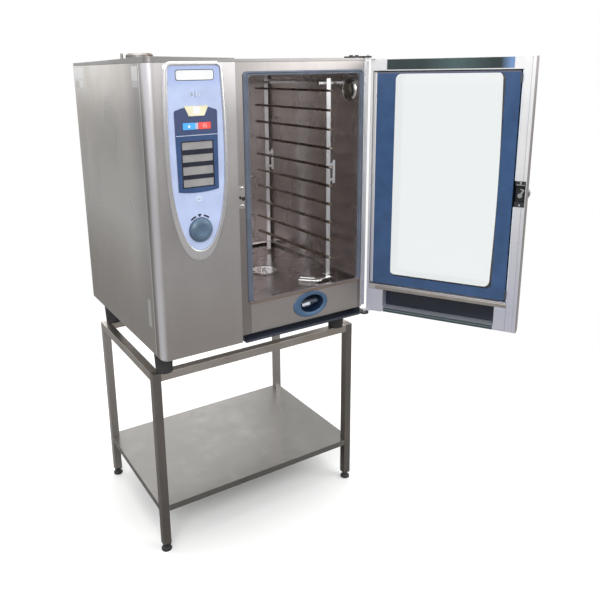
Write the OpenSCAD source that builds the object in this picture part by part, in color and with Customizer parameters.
// Combi steamer oven for ten GN 1/1 pans, with its door open, on an open tube stand.
// Frame: X across (the door hinge is on +X), Y from front to back, Z up from the floor.
// The origin is on the floor below the middle of the oven body. The front faces -Y.

/* [Oven body] */
// Width of the body
body_w = 847; // [843:1:851]
// Depth of the body
body_d = 772; // [768:1:780]
// Height of the body without its feet
body_h = 940; // [936:1:944]
// Height of the feet under the body
foot_h = 102; // [98:1:106]
// Width of the control column at the left
column_w = 290; // [288:1:292]
// How far the cavity frame sits behind the control column's face
frame_setback = 55; // [55:1:57]
// Radius of the column's rounded front corner
corner_r = 24; // [18:1:28]
// Thickness of the casing sheets
sheet = 1.5; // [1.2:0.1:1.6]

/* [Cavity] */
// Width of the cavity's opening
opening_w = 454; // [450:1:454]
// Height of the cavity's opening
opening_h = 766; // [762:1:766]
// Depth of the cavity
cavity_d = 633; // [625:1:635]
// Height step between two rack rails
rail_pitch = 68.2; // [67:0.1:68.2]
// Number of rails on each rack
rail_count = 10; // [8:1:10]

/* [Door] */
// Angle at which the door stands open
door_open = 120; // [100:1:125]
// Thickness of the door frame behind the outer glass
door_t = 46; // [46:1:46]
// Height of the door
door_h = 945; // [943:1:945]

/* [Stand] */
// Width of the stand over its legs
stand_w = 858; // [850:1:862]
// Depth of the stand over its legs
stand_d = 590; // [586:1:594]
// Height of the stand
stand_h = 712; // [700:1:720]
// Side of the square tube
tube = 30; // [28:1:32]
// Height of the shelf's top
shelf_z = 188; // [180:1:200]

/* [Hidden] */
$fn = 64;
eps = 0.2;                       // clearance between separate still pieces
fit = 0.05;                      // radial clearance of a pin that turns in its hole
x0 = -body_w / 2;                // the body's sides
x1 = body_w / 2;
y0 = -body_d / 2;                // the column's face
y1 = body_d / 2;                 // the body's back
frame_y = y0 + frame_setback;    // the cavity frame's face
col_x = x0 + column_w;           // the column's right side
z0 = stand_h + foot_h;           // the body's underside
z1 = z0 + body_h;                // the roof
lip = 10;                        // depth of the roof's folded edge
wall_z0 = z0 + 2.2;              // the side sheets stand on the base plate
wall_z1 = z1 - lip - eps;        // and end below the roof's edge

open_x0 = col_x + 76;            // the cavity's opening
open_x1 = open_x0 + opening_w;
open_z0 = z0 + 121;
open_z1 = open_z0 + opening_h;
liner_x0 = col_x + 6;            // the fan chamber is behind the frame's left margin
liner_y0 = frame_y + sheet;
liner_y1 = liner_y0 + cavity_d;
baffle_x = open_x0 - 3;

fan_y = -14;
fan_z = open_z0 + 383;
fan_x0 = liner_x0 + 12;          // the fan's back plate
fan_x1 = baffle_x - 14;          // and the rim of its blades
fan_r = 160;
motor_shaft_r = 8.2;
coil_r = 190;
lamp_y = y0 + 112;
lamp_z = open_z1 - 60;
drain_x = x0 + 575;
drain_y = y0 + 340;
drain_z = z0 + 45;
drain_r = 45;                    // hole in the cavity's floor
pipe_r = 25;                     // outside of the drain pipe
vent_x = x0 + 183;
vent_y = y0 + 540;
inlet_x = x0 + 45;               // the first water inlet, with the cable gland below it

gasket_t = 5;
gasket_w = 16;
lower_x0 = open_x0 - 11;         // the lower front panel
lower_x1 = x1 - 19;
lower_z1 = open_z0 - 8.5;

panel_x = x0 + 148.5;             // centre line of the control panel
panel_z = z0 + 666;              // where the panel is widest
overlay_a = 92;                  // half width of the overlay
overlay_down = 312;              // from its widest line to its lower tip
overlay_up = 256;                // from its widest line to its flat top
rim = 14;                        // width of the bezel around it
rim_tip = 38;                    // and below its tip
rim_top = 12;                    // and above its flat top
bezel_t = 10;
overlay_t = 6;
field_t = 8;
dial_z = z0 + 420;
dial_r = 38;
dial_h = 20;
shaft_r = 4;
key_gap = 0.4;
window_z = [685, 647, 609, 571];     // middle heights of the four windows above the body's underside
window_h = [23, 23, 26, 24];
window_w = 102;

shower_x = x0 + 608;
shower_z = z0 + 59;
head_y = frame_y + 15;           // centre line of the shower's grip
head_z = shower_z + 3;
trigger_x = shower_x - 32;       // pivot of the shower's lever
trigger_y = frame_y - 1.5;
shower_a = 76;
shower_b = 49;
recess_a = 50;
recess_b = 33;
recess_d = 44;

strike_x = x0 + 324;             // the pin that the door's claw takes hold of
strike_z = z0 + 493;

gutter_x0 = x0 + 323;
gutter_x1 = x0 + 826;
gutter_y0 = frame_y - 19;
gutter_y1 = frame_y + 40;

hinge_x = x1 + 11;               // the door's hinge line
hinge_y = frame_y - 6;
pin_r = 5;
door_x0 = col_x + 3;             // the door as it lies when shut
door_x1 = hinge_x - 6;
door_y0 = y0;
door_y1 = door_y0 + door_t;
door_z0 = z0 - 11;
door_z1 = door_z0 + door_h;
glass_t = 6;
stile_x0 = door_x0 + 38;         // inner edges of the door's stiles
stile_x1 = door_x1 - 11;
top_rail_z = door_z1 - 40;       // underside of the door's top rail
cross_z0 = door_z0 + 88;         // the rail below the inner pane
cross_z1 = door_z0 + 108;
pane_x0 = stile_x0 + 6;
pane_x1 = door_x1 - 27;
pane_z0 = cross_z1 + 8;
pane_z1 = top_rail_z - 4;
pane_y1 = door_y0 + 49.6;
pane_t = 6;
pivot_x = pane_x1 + 3;           // the inner pane turns about this line
pivot_y = door_y0 + 38;
spindle_x = x0 + 316;
spindle_z = z0 + 478;
spindle_r = 6;

rack_x = [open_x0 + 13, x0 + 712];   // middle of each rack's rails
rack_side = [-1, 1];             // the side of the rails on which the uprights stand
rail_half = 5;                   // half the distance between a rail's two wires
rail_y0 = frame_y + 19;
rail_y1 = rail_y0 + 530;
rail_z0 = open_z0 + 94;
rack_top = rail_z0 + rail_pitch * (rail_count - 1) + 42;
upright_w = [4, 18];
upright_y = [rail_y0 + 41, rail_y1 - 48];
wire_r = 4;
hairpin_r = 3;

stand_x = 11.5;                  // the stand's middle, seen from the oven's
stand_y = 40;
leg_x = stand_w / 2 - tube / 2;
leg_y = stand_d / 2 - tube / 2;
leg_z0 = 30;
foot_x = body_w / 2 - 55;

steel = [0.63, 0.61, 0.59];
bright = [0.78, 0.78, 0.78];
dark_blue = [0.17, 0.24, 0.36];
pale_blue = [0.62, 0.76, 0.85];
navy = [0.13, 0.18, 0.30];
black = [0.08, 0.08, 0.09];
glass = [0.75, 0.82, 0.85, 0.4];

// ---------- helpers ----------

module bar(lo, hi) {
    translate(lo) cube(hi - lo);
}

module rod_x(r, xa, xb, y, z) {
    translate([xa, y, z]) rotate([0, 90, 0]) cylinder(r = r, h = xb - xa);
}

module rod_y(r, ya, yb, x, z) {
    translate([x, yb, z]) rotate([90, 0, 0]) cylinder(r = r, h = yb - ya);
}

module rod_z(r, za, zb, x, y) {
    translate([x, y, za]) cylinder(r = r, h = zb - za);
}

// A rectangle with round corners, from its low to its high corner
module rounded(lo, hi, r) {
    translate([lo.x + r, lo.y]) square([hi.x - lo.x - 2 * r, hi.y - lo.y]);
    translate([lo.x, lo.y + r]) square([hi.x - lo.x, hi.y - lo.y - 2 * r]);
    for (x = [lo.x + r, hi.x - r], y = [lo.y + r, hi.y - r]) translate([x, y]) circle(r);
}

// Extrudes a shape drawn in X and Z towards -Y, with its back at y_back
module facing_front(y_back, t) {
    translate([0, y_back, 0]) rotate([90, 0, 0]) linear_extrude(t) children();
}

// Half width of the control panel's outline, a height dz above its widest line
function panel_half(dz, a, down, up) =
    dz < 0 ? a * pow(1 - pow(-dz / down, 2.2), 1 / 2.2)
           : a * sqrt(1 - pow(dz / (up * 2.4), 2));

module panel_outline(a, down, up) {
    steps = 26;
    lower = [for (i = [0:steps]) -down * cos(i * 90 / steps)];
    upper = [for (i = [1:6]) up * i / 6];
    heights = concat(lower, upper);
    right = [for (dz = heights) [panel_half(dz, a, down, up), dz]];
    left = [for (i = [len(heights) - 1:-1:1]) [-panel_half(heights[i], a, down, up), heights[i]]];
    translate([panel_x, panel_z]) polygon(concat(right, left));
}

module ellipse_2d(x, z, a, b) {
    translate([x, z]) polygon([for (i = [0:47]) [a * cos(i * 7.5), b * sin(i * 7.5)]]);
}

// A wire bent to a long flat ring along Y: its middle line is at x, between ya and yb
module wire_ring(x, half, ya, yb, z) {
    for (sx = [-1, 1]) rod_y(wire_r, ya + half, yb - half, x + sx * half, z);
    for (end = [[ya + half, 180], [yb - half, 0]])
        translate([x, end.x, z]) rotate([0, 0, end.y])
            rotate_extrude(angle = 180) translate([half, 0]) circle(wire_r, $fn = 24);
}

// Places what is drawn on the shut door where it is when the door stands open
module on_door() {
    translate([hinge_x, hinge_y, 0]) rotate([0, 0, door_open])
        translate([-hinge_x, -hinge_y, 0]) children();
}

// The body's outline from above: the column reaches further forward than the cavity
module footprint(inset) {
    r = corner_r - inset;
    translate([x0 + corner_r, y0 + inset]) square([column_w - corner_r - inset, body_d - 2 * inset]);
    translate([x0 + inset, y0 + corner_r]) square([column_w / 2, body_d - corner_r - inset]);
    translate([x0 + corner_r, y0 + corner_r]) circle(r);
    translate([x0 + inset, frame_y + inset])
        square([body_w - 2 * inset, body_d - frame_setback - 2 * inset]);
}

// ---------- stand ----------

module stand_legs() color(steel)
    for (sx = [-1, 1], sy = [-1, 1])
        translate([stand_x + sx * leg_x, stand_y + sy * leg_y, 0]) difference() {
            bar([-tube / 2, -tube / 2, leg_z0], [tube / 2, tube / 2, stand_h]);
            bar([-tube / 2 + 2, -tube / 2 + 2, leg_z0 - 1], [tube / 2 - 2, tube / 2 - 2, stand_h - 2]);
        }

module stand_rails() color(steel) {
    inner_x = leg_x - tube / 2;
    inner_y = leg_y - tube / 2;
    for (s = [-1, 1]) {
        translate([stand_x, stand_y + s * leg_y, stand_h - tube / 2])
            rotate([0, 90, 0]) square_tube(2 * inner_x);
        translate([stand_x + s * leg_x, stand_y, stand_h - tube / 2])
            rotate([90, 0, 0]) square_tube(2 * inner_y);
    }
}

// A length of the stand's tube, along Z and centred
module square_tube(length) difference() {
    cube([tube, tube, length], center = true);
    cube([tube - 4, tube - 4, length + 1], center = true);
}

module stand_shelf() color(bright) translate([stand_x, stand_y, 0]) {
    hx = stand_w / 2;
    hy = stand_d / 2;
    notch = tube + 0.3;
    flange = 24;
    difference() {
        bar([-hx, -hy, shelf_z - flange], [hx, hy, shelf_z]);
        bar([-hx + sheet, -hy + sheet, shelf_z - flange - 1], [hx - sheet, hy - sheet, shelf_z - sheet]);
        for (sx = [-1, 1], sy = [-1, 1])
            translate([sx * (hx - notch / 2), sy * (hy - notch / 2), shelf_z - flange / 2])
                cube([notch, notch, flange + 2], center = true);
    }
    // hat-shaped stiffener under the sheet
    bar([-hx + 50, -30, shelf_z - flange + 4], [hx - 50, 30, shelf_z - sheet]);
}

module stand_feet() color(black)
    for (sx = [-1, 1], sy = [-1, 1])
        translate([stand_x + sx * leg_x, stand_y + sy * leg_y, 0]) {
            cylinder(r = 19, h = 7);
            translate([0, 0, 7]) cylinder(r1 = 16, r2 = 9, h = 5);
            cylinder(r = 6, h = leg_z0 + 10);
            bar([-tube / 2 + 0.2, -tube / 2 + 0.2, leg_z0 - 5], [tube / 2 - 0.2, tube / 2 - 0.2, leg_z0]);
            bar([-tube / 2 + 2.1, -tube / 2 + 2.1, leg_z0], [tube / 2 - 2.1, tube / 2 - 2.1, leg_z0 + 18]);
        }

// ---------- body shell ----------

module oven_feet() color(black)
    for (sx = [-1, 1], y = [stand_y - leg_y, stand_y + leg_y - 6])
        translate([sx * foot_x, y, stand_h]) {
            cylinder(r1 = 29, r2 = 33, h = foot_h - 12);
            translate([0, 0, foot_h - 12]) cylinder(r = 35, h = 12);
        }

module base_plate() color(steel) translate([0, 0, z0]) linear_extrude(2) footprint(0);

module left_panel() color(steel) {
    seam_y = y0 + 58;
    bar([x0, seam_y + 0.8, wall_z0], [x0 + sheet, y1 - sheet - eps, wall_z1]);
    bar([x0 + sheet, seam_y + 0.8, wall_z0], [x0 + 14, seam_y + 0.8 + sheet, wall_z1]);
}

module right_panel() color(steel) {
    bar([x1 - sheet, frame_y + sheet + eps, wall_z0], [x1, y1 - sheet - eps, wall_z1]);
    bar([x1 - 14, frame_y + sheet + eps, wall_z0], [x1 - sheet, frame_y + 2 * sheet + eps, wall_z1]);
}

module rear_panel() color(steel) {
    difference() {
        bar([x0, y1 - sheet, wall_z0], [x1, y1, wall_z1]);
        rod_y(pipe_r + 1, y1 - 5, y1 + 5, drain_x, drain_z);
        for (x = [inlet_x, inlet_x + 40]) rod_y(13.5, y1 - 5, y1 + 5, x, z0 + 90);
        rod_y(9.3, y1 - 5, y1 + 5, inlet_x, z0 + 45);
    }
    // raised louvres over the control column
    for (i = [0:9]) bar([x0 + 50, y1, z0 + 560 + i * 26], [x0 + 230, y1 + 4, z0 + 572 + i * 26]);
}

module top_cover() color(steel) translate([0, 0, z1 - lip]) difference() {
    linear_extrude(lip) footprint(0);
    translate([0, 0, -1]) linear_extrude(lip - sheet + 1) footprint(sheet);
    translate([vent_x, vent_y, 0]) cylinder(r = 21, h = lip + 1);
}

// ---------- control column ----------

module fascia_profile() {
    translate([x0 + corner_r, y0]) square([column_w - corner_r, sheet]);
    intersection() {
        translate([x0 + corner_r, y0 + corner_r]) difference() {
            circle(corner_r);
            circle(corner_r - sheet);
        }
        translate([x0, y0]) square([corner_r, corner_r]);
    }
    translate([x0, y0 + corner_r]) square([sheet, 58 - corner_r]);
    translate([x0, y0 + 58 - sheet]) square([14, sheet]);
    translate([col_x - sheet, y0]) square([sheet, frame_setback - eps]);
}

module control_fascia() color(steel) difference() {
    translate([0, 0, wall_z0]) linear_extrude(wall_z1 - wall_z0) fascia_profile();
    facing_front(y0 + 5, 10) rounded([panel_x - 74, z0 + 505], [panel_x + 74, z0 + 800], 6);
    facing_front(y0 + 5, 10) rounded([panel_x - 24, z0 + 826], [panel_x + 26, z0 + 850], 4);
    rod_y(8, y0 - 5, y0 + 5, panel_x, dial_z);
}

module bezel() color(steel) facing_front(y0, bezel_t) difference() {
    panel_outline(overlay_a + rim, overlay_down + rim_tip, overlay_up + rim_top);
    translate([0, -eps]) panel_outline(overlay_a + eps, overlay_down + eps, overlay_up + 2 * eps);
}

module overlay_panel() color(pale_blue) difference() {
    facing_front(y0, overlay_t) panel_outline(overlay_a - eps, overlay_down - eps, overlay_up - 2);
    facing_front(y0 + 1, overlay_t + 2) {
        field_outline(0);
        translate([panel_x, z0 + 837]) for (sx = [-10.5, 10.5]) translate([sx, 0]) circle(7 + key_gap);
        mode_outline(key_gap);
        menu_outline(key_gap);
        translate([panel_x, dial_z]) circle(dial_r + 2);
    }
}

module mode_outline(grow) translate([panel_x + 1.5, z0 + 788.5])
    polygon([[-25.5 - grow, -15 - grow], [25.5 + grow, -15 - grow],
             [40 + grow, 15 + grow], [-40 - grow, 15 + grow]]);

module menu_outline(grow)
    rounded([panel_x - 12 - grow, z0 + 509 - grow], [panel_x + 8 + grow, z0 + 529 + grow], 3);

// The dark field: it narrows a little downwards, with shoulders at the top and a bulging lower edge
module field_outline(inset) {
    lower = [for (x = [-68:17:68]) [x * (1 - inset / 68), 546 - 6.5 * (1 - pow(x / 68, 2)) + inset]];
    upper = [[71 - inset, 786], [68 - inset, 791 - inset], [45, 798 - inset],
             [-45, 798 - inset], [-68 + inset, 791 - inset], [-71 + inset, 786]];
    translate([panel_x, z0]) polygon(concat(lower, upper));
}

module window_slots(grow)
    for (i = [0:3])
        rounded([panel_x - window_w / 2 - grow, z0 + window_z[i] - window_h[i] / 2 - grow],
                [panel_x + window_w / 2 + grow, z0 + window_z[i] + window_h[i] / 2 + grow], 2);

module colour_key_outline(cx, grow)
    rounded([cx - 20.5 - grow, z0 + 733.5 - grow], [cx + 20.5 + grow, z0 + 754 + grow], 3);

module display_field() color(navy) difference() {
    facing_front(y0, field_t) field_outline(eps);
    facing_front(y0 + 1, field_t + 2) {
        window_slots(eps);
        colour_key_outline(panel_x - 25, key_gap);
        colour_key_outline(panel_x + 26.5, key_gap);
        mode_outline(key_gap);
    }
    // groove between the keys and the windows
    facing_front(y0 - field_t + 1, 3)
        translate([panel_x - 62, z0 + 715]) square([124, 2.5]);
}

module display_windows() color([0.55, 0.58, 0.58]) facing_front(y0 - 2, field_t - 3) window_slots(0);

module on_key() color("white") rod_y(7, y0 - 7, y0 - 1.5, panel_x - 10.5, z0 + 837);

module off_key() color("white") rod_y(7, y0 - 7, y0 - 1.5, panel_x + 10.5, z0 + 837);

module mode_key() color([0.93, 0.91, 0.80]) facing_front(y0 - 1.5, 8) mode_outline(0);

module steam_key() color([0.16, 0.52, 0.82]) facing_front(y0 - 1.5, 8) colour_key_outline(panel_x - 25, 0);

module heat_key() color([0.85, 0.22, 0.26]) facing_front(y0 - 1.5, 8) colour_key_outline(panel_x + 26.5, 0);

module menu_key() color("white") facing_front(y0 - 1.5, 5.5) menu_outline(0);

module dial() color(dark_blue) translate([panel_x, y0 - 2.5, dial_z]) rotate([90, 0, 0]) difference() {
    union() {
        cylinder(r = dial_r, h = 8);
        translate([0, 0, 8]) cylinder(r1 = dial_r, r2 = dial_r - 8, h = dial_h - 8);
    }
    translate([0, 0, -1]) cylinder(r = shaft_r + fit, h = dial_h - 5);
    translate([0, 0, dial_h + 42]) sphere(r = 48, $fn = 96);
}

module dial_shaft() color(bright) rod_y(shaft_r, y0 - 16, y0 + 34, panel_x, dial_z);

module dial_encoder() color(black) difference() {
    bar([panel_x - 16, y0 + 12, dial_z - 16], [panel_x + 16, y0 + 30, dial_z + 16]);
    rod_y(shaft_r + fit, y0, y0 + 40, panel_x, dial_z);
}

module control_board() color([0.10, 0.35, 0.22]) {
    bar([panel_x - 110, y0 + 34, z0 + 500], [panel_x + 110, y0 + 36, z0 + 860]);
    for (i = [0:3])
        bar([panel_x - 90, y0 + 36, z0 + 520 + i * 80], [panel_x - 50 + i * 20, y0 + 56, z0 + 570 + i * 80]);
}

// ---------- cavity front ----------

module front_frame() color(bright) facing_front(frame_y + sheet, sheet) difference() {
    translate([col_x + eps, wall_z0]) square([x1 - col_x - eps, wall_z1 - wall_z0]);
    rounded([open_x0, open_z0], [open_x1, open_z1], 14);
    translate([lower_x0 - 0.4, wall_z0 - 1]) square([lower_x1 - lower_x0 + 0.8, lower_z1 - wall_z0 + 1.4]);
}

module door_gasket() color([0.45, 0.50, 0.58]) facing_front(frame_y, gasket_t) difference() {
    rounded([open_x0 - 5 - gasket_w, open_z0 - 5 - 8], [open_x1 + 2 + gasket_w, open_z1 + 1 + 13], 24);
    rounded([open_x0 - 5, open_z0 - 5], [open_x1 + 2, open_z1 + 1], 14);
}

module lower_panel() color(steel) facing_front(frame_y + sheet, sheet) difference() {
    translate([lower_x0, wall_z0]) square([lower_x1 - lower_x0, lower_z1 - wall_z0]);
    ellipse_2d(shower_x, shower_z, shower_a - 6 + eps, shower_b - 6 + eps);
}

module drip_gutter() color(dark_blue) difference() {
    bar([gutter_x0, gutter_y0, z0 - 24], [gutter_x1, gutter_y1, z0 - eps]);
    bar([gutter_x0 + 2, gutter_y0 + 2.5, z0 - 21], [gutter_x1 - 2, gutter_y1 - 3, z0 + 1]);
    bar([gutter_x0 - 1, gutter_y0 - 1, z0 - 16], [gutter_x1 + 1, frame_y + 1, z0 + 1]);
}

module hinge_strip() color(bright) {
    bar([x1 - 8, frame_y - 2, wall_z0 + 4], [hinge_x + 2.5, frame_y, wall_z1 - 2]);
    for (z = [z0 + 45, z0 + 70, z0 + 95, z1 - 60, z1 - 90]) rod_y(3, frame_y - 3.2, frame_y - 2, x1 - 4, z);
}

module striker() color(bright) {
    bar([strike_x - 6, frame_y - 2.5, strike_z - 38], [strike_x + 16, frame_y, strike_z + 38]);
    for (s = [-1, 1]) rod_y(4, frame_y - 4.5, frame_y - 2.5, strike_x + 5, strike_z + s * 30);
    rod_y(4, frame_y - 22, frame_y - 2.5, strike_x, strike_z);
    rod_y(8, frame_y - 24, frame_y - 21, strike_x, strike_z);
}

module shower_housing() color(dark_blue) difference() {
    union() {
        facing_front(frame_y - eps, 4) ellipse_2d(shower_x, shower_z, shower_a, shower_b);
        facing_front(frame_y + recess_d, recess_d + 1)
            ellipse_2d(shower_x, shower_z, shower_a - 6, shower_b - 6);
    }
    facing_front(frame_y + recess_d - 3, recess_d + 4)
        ellipse_2d(shower_x + 7, shower_z, recess_a, recess_b);
    rod_y(7, frame_y, frame_y + recess_d + 2, shower_x + 40, shower_z + 3);
}

module shower_head() color([0.20, 0.22, 0.26]) {
    rod_x(9.5, shower_x - 26, shower_x + 40, head_y, head_z);
    rod_x(12, shower_x - 36, shower_x - 24, head_y, head_z);
    translate([shower_x + 40, head_y, head_z]) sphere(r = 9.5);
    rod_y(5, head_y, frame_y + recess_d + 75, shower_x + 40, head_z);
    // two ears and the pin on which the lever turns
    for (dz = [-8.5, 5.5])
        bar([trigger_x - 3, trigger_y - 3, head_z + dz], [trigger_x + 3, head_y, head_z + dz + 3]);
    rod_z(2, head_z - 8, head_z + 8, trigger_x, trigger_y);
}

module shower_trigger() color([0.85, 0.86, 0.84]) difference() {
    union() {
        rod_z(4, head_z - 5, head_z + 5, trigger_x, trigger_y);
        bar([trigger_x - 6, trigger_y - 1.5, head_z - 5], [trigger_x + 28, trigger_y + 1.5, head_z + 5]);
    }
    rod_z(2 + fit, head_z - 6, head_z + 6, trigger_x, trigger_y);
}

module hose_reel() color(black) {
    ry = frame_y + 190;
    rod_z(46, z0 + 20, z0 + 24, shower_x, ry);
    rod_z(28, z0 + 24, z0 + 56, shower_x, ry);
    rod_z(46, z0 + 56, z0 + 60, shower_x, ry);
}

// ---------- roof and hinges ----------

module vent_cap() color([0.45, 0.44, 0.43]) translate([vent_x, vent_y, z1]) difference() {
    union() {
        translate([0, 0, -70]) cylinder(r = 20, h = 74);
        cylinder(r = 36, h = 4);
        for (a = [0:120:240]) rotate([0, 0, a]) translate([30, 0, 0]) cylinder(r = 3, h = 14.5);
        translate([0, 0, 14]) cylinder(r = 50, h = 10);
        translate([0, 0, 24]) cylinder(r1 = 50, r2 = 42, h = 6);
    }
    translate([0, 0, -71]) cylinder(r = 18, h = 80);
}

module roof_post() color([0.35, 0.34, 0.33]) {
    rod_z(9, z1, z1 + 5, x0 + 123, vent_y + 20);
    rod_z(5, z1 + 5, z1 + 30, x0 + 123, vent_y + 20);
}

module bracket_nose(r, za, zb, xa) difference() {
    union() {
        rod_z(r, za, zb, hinge_x, hinge_y);
        bar([xa, hinge_y, za], [hinge_x + r, hinge_y + 12, zb]);
    }
    rod_z(pin_r, za - 1, zb + 1, hinge_x, hinge_y);
}

module upper_bracket() color(black) {
    bracket_nose(10, z1, z1 + 6, hinge_x - 20);
    bar([hinge_x - 58, hinge_y + 12, z1], [hinge_x + 10, hinge_y + 70, z1 + 6]);
    for (x = [hinge_x - 45, hinge_x - 20]) rod_z(7, z1 + 6, z1 + 10, x, hinge_y + 45);
}

module lower_bracket() color(black) {
    bracket_nose(18, z0 - 28, z0 - 22, hinge_x - 24);
    bar([hinge_x - 26, hinge_y + 12, z0 - 28], [hinge_x + 10, hinge_y + 70, z0 - 22]);
    bar([hinge_x - 26, hinge_y + 12, z0 - 22], [hinge_x - 12, hinge_y + 70, z0 - eps]);
}

module hinge_pins() color(bright) {
    rod_z(pin_r, z1 - 7, z1 + 6, hinge_x, hinge_y);
    rod_z(8, z1 + 6, z1 + 10, hinge_x, hinge_y);
    rod_z(pin_r, z0 - 28, z0 - 11, hinge_x, hinge_y);
    rod_z(9, z0 - 22, z0 - 14.9, hinge_x, hinge_y);
}

// ---------- cavity ----------

module cavity_liner() color(steel) difference() {
    bar([liner_x0 - sheet, liner_y0, open_z0 - sheet],
        [open_x1 + sheet, liner_y1 + sheet, open_z1 + sheet]);
    bar([liner_x0, liner_y0 - 1, open_z0], [open_x1, liner_y1, open_z1]);
    rod_z(drain_r, open_z0 - 5, open_z0 + 5, drain_x, drain_y);
    rod_x(9, liner_x0 - 5, liner_x0 + 5, fan_y, fan_z);
    rod_x(15, liner_x0 - 5, liner_x0 + 5, liner_y1 - 70, z0 + 200);
}

module insulation() color([0.85, 0.80, 0.62]) {
    bar([open_x1 + 2, liner_y0 + 8, open_z0 - sheet], [x1 - 4, liner_y1, open_z1]);
    bar([liner_x0, liner_y0 + 8, open_z1 + 2], [x1 - 4, liner_y1, z1 - 12]);
    bar([liner_x0, liner_y1 + 2, z0 + 130], [open_x1 - 4, y1 - 30, open_z1]);
    bar([liner_x0 + 10, liner_y0 + 260, z0 + 82], [drain_x - 60, liner_y1 - 4, open_z0 - 3]);
    bar([drain_x + 60, liner_y0 + 60, z0 + 82], [open_x1 - 4, liner_y1 - 4, open_z0 - 3]);
}

module lamp() color([0.9, 0.9, 0.85]) {
    rod_x(38, open_x1 - 4, open_x1, lamp_y, lamp_z);
    rod_x(30, open_x1 - 9, open_x1 - 4, lamp_y, lamp_z);
}

module strainer() color(bright) {
    difference() {
        rod_z(drain_r + 6, open_z0 + 0.3, open_z0 + 2.3, drain_x, drain_y);
        for (a = [0:45:315]) rotate_about(drain_x, drain_y, a)
            rod_z(5, open_z0 - 5, open_z0 + 5, drain_x + 24, drain_y);
    }
    difference() {
        rod_z(drain_r - 4, open_z0 - 14, open_z0 + 0.3, drain_x, drain_y);
        rod_z(drain_r - 6, open_z0 - 15, open_z0 + 0.3, drain_x, drain_y);
    }
    rod_x(3, drain_x - 12, drain_x + 12, drain_y, open_z0 + 14);
    for (s = [-12, 12]) rod_z(3, open_z0 + 2, open_z0 + 14, drain_x + s, drain_y);
}

module rotate_about(x, y, a) translate([x, y, 0]) rotate([0, 0, a]) translate([-x, -y, 0]) children();

module drain_pipe() color(bright) difference() {
    union() {
        rod_z(drain_r + 5, open_z0 - sheet - 30, open_z0 - sheet - eps, drain_x, drain_y);
        rod_z(pipe_r - 1, drain_z, open_z0 - 30, drain_x, drain_y);
        rod_y(pipe_r - 1, drain_y, y1 + 36, drain_x, drain_z);
        translate([drain_x, drain_y, drain_z]) sphere(r = pipe_r - 1);
        rod_y(pipe_r, y1 + 2, y1 + 36, drain_x, drain_z);
    }
    rod_z(drain_r - 1, open_z0 - 29, open_z0 + 5, drain_x, drain_y);
    rod_z(pipe_r - 4, drain_z, open_z0, drain_x, drain_y);
    rod_y(pipe_r - 4, drain_y, y1 + 40, drain_x, drain_z);
}

// One hanging rack: a wire ring for each pan level, held on one side by two uprights
module rack(n) {
    side = rack_side[n];
    near = rack_x[n] + side * (rail_half + wire_r + 0.1);
    far = near + side * upright_w[n];
    lo = min(near, far);
    hi = max(near, far);
    for (i = [0:rail_count - 1])
        wire_ring(rack_x[n], rail_half, rail_y0, rail_y1, rail_z0 + i * rail_pitch);
    for (y = upright_y) bar([lo, y, open_z0 + 14], [hi, y + 3, rack_top]);
    // runners that join the uprights, the upper one on the hooks
    for (z = [open_z0 + 50, rack_top - 12])
        bar([(lo + hi) / 2 - 1.5, upright_y[0] + 3 + fit, z],
            [(lo + hi) / 2 + 1.5, upright_y[1] - fit, z + 8]);
}

module left_rack() color(bright) rack(0);

module right_rack() color(bright) {
    tip = rack_x[1] - 38;
    y = rail_y0 + 27;
    strap = rack_x[1] + rail_half + wire_r + upright_w[1] / 2 - 0.5;
    edge = rack_x[1] + rail_half + wire_r + upright_w[1] + 0.1;
    rack(1);
    // a bracket on each upright's edge, which keeps the rack off the wall
    for (back = upright_y) {
        bar([edge + 11, back + 0.5, fan_z - 15], [edge + 22, back + 2.5, fan_z + 72]);
        for (z = [fan_z - 5, fan_z + 52])
            bar([edge - 2, back + 0.5, z], [edge + 11, back + 2.5, z + 10]);
    }
    // hairpin wire near the floor, on a strap from the lower runner
    translate([tip, y, open_z0 + 7]) rotate([0, 0, -45]) {
        for (s = [-14, 14]) rod_x(hairpin_r, -72, 0, s, 0);
        rotate([0, 0, -90]) rotate_extrude(angle = 180) translate([14, 0]) circle(hairpin_r, $fn = 24);
    }
    bar([tip - 16, y - 10, open_z0 + 10.1], [strap + 3, y + 10, open_z0 + 12]);
    bar([strap - 8, y - 10, open_z0 + 10.1], [strap + 3, rail_y0 + 70, open_z0 + 12]);
    bar([strap, rail_y0 + 50, open_z0 + 10.1], [strap + 3, rail_y0 + 70, open_z0 + 54]);
}

// Wall hooks under the racks' top runners
module rack_hooks() color(bright) {
    top = rail_z0 + rail_pitch * 9 + 29.8;
    for (y = [rail_y0 + 95, rail_y1 - 90]) {
        bar([rack_x[1] + 13, y, top - 10], [open_x1, y + 14, top]);
        bar([baffle_x + sheet, y, top - 4], [rack_x[0] - 8.5, y + 14, top]);
    }
}

module air_baffle() color(bright) difference() {
    bar([baffle_x, liner_y0 + 6, open_z0 + 8], [baffle_x + sheet, liner_y1 - 10, open_z1 - 10]);
    for (r = [30, 62, 94], i = [0:15]) fan_hole(r, i * 22.5 + r);
    for (z = [open_z0 + 30, open_z1 - 60], i = [0:7])
        bar([baffle_x - 1, liner_y0 + 60 + i * 65, z], [baffle_x + 5, liner_y0 + 100 + i * 65, z + 12]);
}

module fan_hole(r, a)
    rod_x(r < 40 ? 4 : 7, baffle_x - 1, baffle_x + 5, fan_y + r * cos(a), fan_z + r * sin(a));

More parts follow.
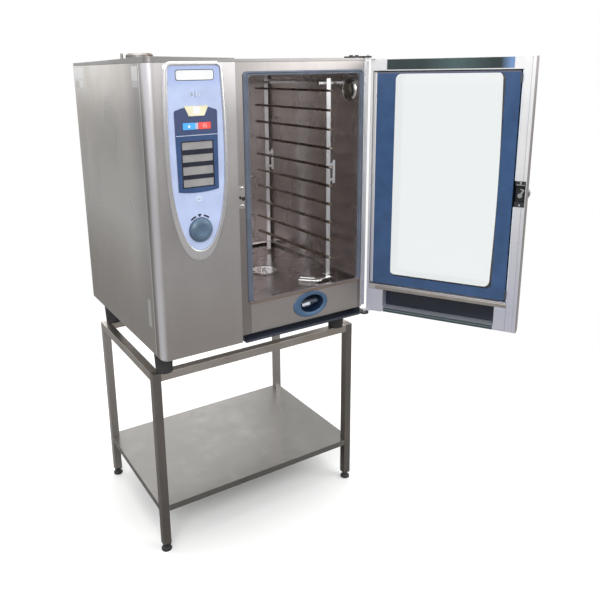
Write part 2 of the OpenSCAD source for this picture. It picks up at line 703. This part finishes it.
module fan_wheel() color(bright) {
    rod_x(motor_shaft_r, liner_x0 - 90, fan_x0 + 2, fan_y, fan_z);
    rod_x(20, fan_x0 + 2, fan_x0 + 26, fan_y, fan_z);
    rod_x(fan_r, fan_x0, fan_x0 + 2, fan_y, fan_z);
    difference() {
        rod_x(fan_r, fan_x1 - 2, fan_x1, fan_y, fan_z);
        rod_x(fan_r - 45, fan_x1 - 3, fan_x1 + 1, fan_y, fan_z);
    }
    for (i = [0:17]) translate([0, fan_y, fan_z]) rotate([i * 20, 0, 0])
        bar([fan_x0 + 2, -1, fan_r - 46], [fan_x1 - 2, 1, fan_r - 1]);
}

module fan_motor() color([0.35, 0.37, 0.40]) difference() {
    union() {
        rod_x(70, liner_x0 - 130, liner_x0 - 22, fan_y, fan_z);
        bar([liner_x0 - 22, fan_y - 95, fan_z - 95], [liner_x0 - 16, fan_y + 95, fan_z + 95]);
    }
    rod_x(motor_shaft_r + fit, liner_x0 - 95, liner_x0, fan_y, fan_z);
}

module heating_coil() color([0.32, 0.30, 0.29]) {
    for (x = [fan_x0 + 4, fan_x0 + 20, fan_x0 + 36])
        translate([x, fan_y, fan_z]) rotate([0, 90, 0])
            rotate_extrude() translate([coil_r, 0]) circle(5, $fn = 24);
    for (s = [-1, 1]) rod_x(4, liner_x0, fan_x0 + 36, fan_y + s * 30, fan_z - sqrt(coil_r * coil_r - 900));
}

module steam_generator() color([0.60, 0.60, 0.58]) difference() {
    union() {
        bar([x0 + 30, vent_y - 95, z0 + 12], [x0 + 235, vent_y + 120, z0 + 290]);
        rod_x(14.5, x0 + 235, liner_x0 + 4, liner_y1 - 70, z0 + 200);
    }
    bar([x0 + 33, vent_y - 92, z0 + 15], [x0 + 232, vent_y + 117, z0 + 287]);
    rod_x(12.5, x0 + 230, liner_x0 + 6, liner_y1 - 70, z0 + 200);
}

module rear_fittings() color([0.75, 0.62, 0.30]) {
    for (x = [inlet_x, inlet_x + 40]) difference() {
        union() {
            rod_y(13.2, y1 - 30, y1 + 20, x, z0 + 90);
            rod_y(18, y1 + eps, y1 + 5, x, z0 + 90);
        }
        rod_y(9, y1 - 31, y1 + 21, x, z0 + 90);
    }
    difference() {
        union() {
            rod_y(9, y1 - 12, y1 + 3, inlet_x, z0 + 45);
            rod_y(15, y1 + eps, y1 + 22, inlet_x, z0 + 45);
        }
        rod_y(6.5, y1 - 13, y1 + 23, inlet_x, z0 + 45);
    }
}

// ---------- door, drawn shut and placed open ----------

module door_frame() color(bright) on_door() {
    difference() {
        translate([0, 0, door_z0]) linear_extrude(door_h)
            rounded([door_x0, door_y0 + glass_t + 0.3], [door_x1, door_y1], 5);
        // the space behind the inner pane, down to the pane's rail
        bar([stile_x0, door_y0, cross_z1], [stile_x1, door_y1 + 1, top_rail_z]);
        // the drip space below the rail
        bar([door_x0 + 78, door_y0, door_z0 + 17], [door_x1 - 68, door_y1 + 1, cross_z0]);
        // pocket for the latch case and the spindle's hole
        bar([door_x0 + 5, door_y0 + 20, spindle_z - 36], [stile_x0 + 1, door_y1 + 1, spindle_z + 52]);
        rod_y(spindle_r + fit, door_y0, door_y1, spindle_x, spindle_z);
        // holes for the inner pane's pivots
        rod_z(3 + fit, cross_z1 - 12, cross_z1 + 1, pivot_x, pivot_y);
        rod_z(3 + fit, top_rail_z - 1, top_rail_z + 12, pivot_x, pivot_y);
    }
    for (z = [door_z0 - 3.5, door_z1]) difference() {
        union() {
            bar([door_x1 - 60, door_y0 + 10, z], [door_x1 - 4, door_y1 - 2, z + 3.5]);
            bar([door_x1 - 20, hinge_y - 9, z], [hinge_x, hinge_y + 4, z + 3.5]);
            rod_z(9, z, z + 3.5, hinge_x, hinge_y);
        }
        rod_z(pin_r + fit, z - 1, z + 5, hinge_x, hinge_y);
    }
    for (x = [door_x1 - 50, door_x1 - 26]) rod_z(6, door_z1 + 3.5, door_z1 + 8, x, door_y0 + 26);
    // corner blocks on the inner face
    bar([door_x1 - 58, door_y1, top_rail_z + 2], [door_x1 - 15, door_y1 + 1.5, door_z1 - 1]);
    bar([door_x1 - 68, door_y1, door_z0 + 8], [door_x1 - 20, door_y1 + 1.5, cross_z0 - 4]);
    bar([door_x0 + 30, door_y1, door_z0 + 8], [door_x0 + 78, door_y1 + 1.5, cross_z0 - 4]);
}

module outer_glass() color([0.25, 0.30, 0.33, 0.6]) on_door() difference() {
    facing_front(door_y0 + glass_t, glass_t)
        rounded([door_x0 + 1, door_z0 + 1], [door_x1 - 1, door_z1 - 1], 8);
    rod_y(spindle_r + 1, door_y0 - 1, door_y0 + 7, spindle_x, spindle_z);
}

module latch_case() color(black) on_door() difference() {
    bar([door_x0 + 5.2, door_y0 + 20.2, spindle_z - 35.8],
        [stile_x0 - 0.2, door_y1 + 1.5, spindle_z + 51.8]);
    bar([door_x0 + 7, door_y0 + 23, spindle_z - 19], [stile_x0 + 1, door_y1 + 3, spindle_z + 36]);
    rod_y(spindle_r + fit, door_y0, door_y1, spindle_x, spindle_z);
}

// Outside grip, spindle and the claw in the latch case are one turning piece
module door_handle() color(bright) on_door() {
    rod_y(25, door_y0 - 30, door_y0 - 0.5, spindle_x, spindle_z);
    rod_y(spindle_r, door_y0 - 5, door_y0 + 40, spindle_x, spindle_z);
    facing_front(door_y0 - 28, 16)
        rounded([spindle_x - 16, spindle_z - 165], [spindle_x + 16, spindle_z + 16], 15);
    rod_y(8, door_y0 + 24, door_y0 + 33, spindle_x, spindle_z);
    facing_front(door_y0 + 40, 4) translate([spindle_x, spindle_z]) claw();
}

// The claw's arm and its hook, an arc that passes behind the striker's head when the grip is turned
module claw() {
    inner = 21.5;
    outer = 26;
    polygon(concat([for (a = [92:5.5:125]) inner * [cos(a), sin(a)]],
                   [for (a = [125:-5.5:92]) outer * [cos(a), sin(a)]]));
    rotate(118) translate([0, -3]) square([inner + 2, 6]);
}

module inner_pane() color(glass) on_door() {
    facing_front(pane_y1 - 0.4, pane_t - 0.4) rounded([pane_x0, pane_z0], [pane_x1, pane_z1], 6);
    for (z = [pane_z0 + 4, pane_z1 - 34])
        bar([pane_x1 - 22, pivot_y - 4, z], [pivot_x + 4, pane_y1 - pane_t, z + 30]);
    rod_z(3, cross_z1 - 10, pane_z0 + 10, pivot_x, pivot_y);
    rod_z(3, pane_z1 - 10, top_rail_z + 10, pivot_x, pivot_y);
    // spring clips that hold the free edge
    for (z = [pane_z0 + 6, pane_z1 - 40])
        bar([pane_x0 - 5.5, pane_y1 - 9, z], [pane_x0 + 2, pane_y1 - pane_t, z + 32]);
}

module pane_border() color([0.15, 0.27, 0.45]) on_door() facing_front(pane_y1, 0.4) difference() {
    rounded([pane_x0 + 0.5, pane_z0 + 0.5], [pane_x1 - 0.5, pane_z1 - 0.5], 6);
    rounded([pane_x0 + 48, pane_z0 + 36], [pane_x1 - 69, pane_z1 - 7], 20);
}

// ---------- assembly ----------

stand_legs();
stand_rails();
stand_shelf();
stand_feet();
oven_feet();
base_plate();
left_panel();
right_panel();
rear_panel();
top_cover();
control_fascia();
bezel();
overlay_panel();
display_field();
display_windows();
on_key();
off_key();
mode_key();
steam_key();
heat_key();
menu_key();
dial();
dial_shaft();
dial_encoder();
control_board();
front_frame();
door_gasket();
lower_panel();
drip_gutter();
hinge_strip();
striker();
shower_housing();
shower_head();
shower_trigger();
hose_reel();
upper_bracket();
lower_bracket();
hinge_pins();
vent_cap();
roof_post();
cavity_liner();
insulation();
lamp();
strainer();
drain_pipe();
left_rack();
right_rack();
rack_hooks();
air_baffle();
fan_wheel();
fan_motor();
heating_coil();
steam_generator();
rear_fittings();
door_frame();
outer_glass();
latch_case();
door_handle();
inner_pane();
pane_border();
